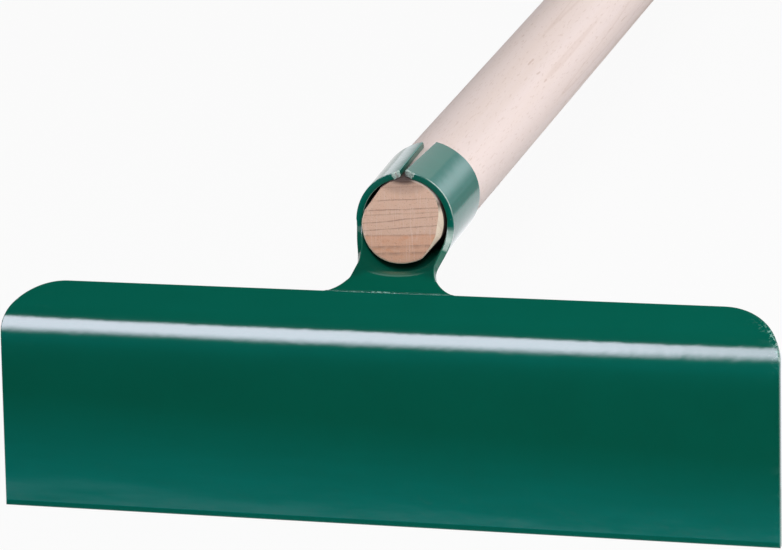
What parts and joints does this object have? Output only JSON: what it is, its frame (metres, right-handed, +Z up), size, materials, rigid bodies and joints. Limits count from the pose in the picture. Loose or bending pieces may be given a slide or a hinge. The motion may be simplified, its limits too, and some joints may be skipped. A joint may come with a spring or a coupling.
{
  "type": "manure scraper",
  "caption": "Hand scraper with a wide painted steel blade, bent back at the top and welded to a rolled split socket that holds a long round wooden handle.",
  "frame": {"origin": "middle of the scraping edge's flat, on the floor that the tool lies on", "axes": "+X across the blade, +Y from the blade to the far end of the handle, +Z up from the floor. The tool lies on its scraping edge and on the far end of the handle, and the blade's face looks to -Y"},
  "size_m": [0.35, 1.3673, 0.1329],
  "materials": {
    "green_paint": "gloss",
    "beech": "bare, sanded",
    "zinc": "zinc plated"
  },
  "bodies": {
    "root": {"blade": "green_paint", "socket": "green_paint", "weld_bead": "green_paint", "handle": "beech", "fixing_screw": "zinc"}
  },
  "joints": []
}
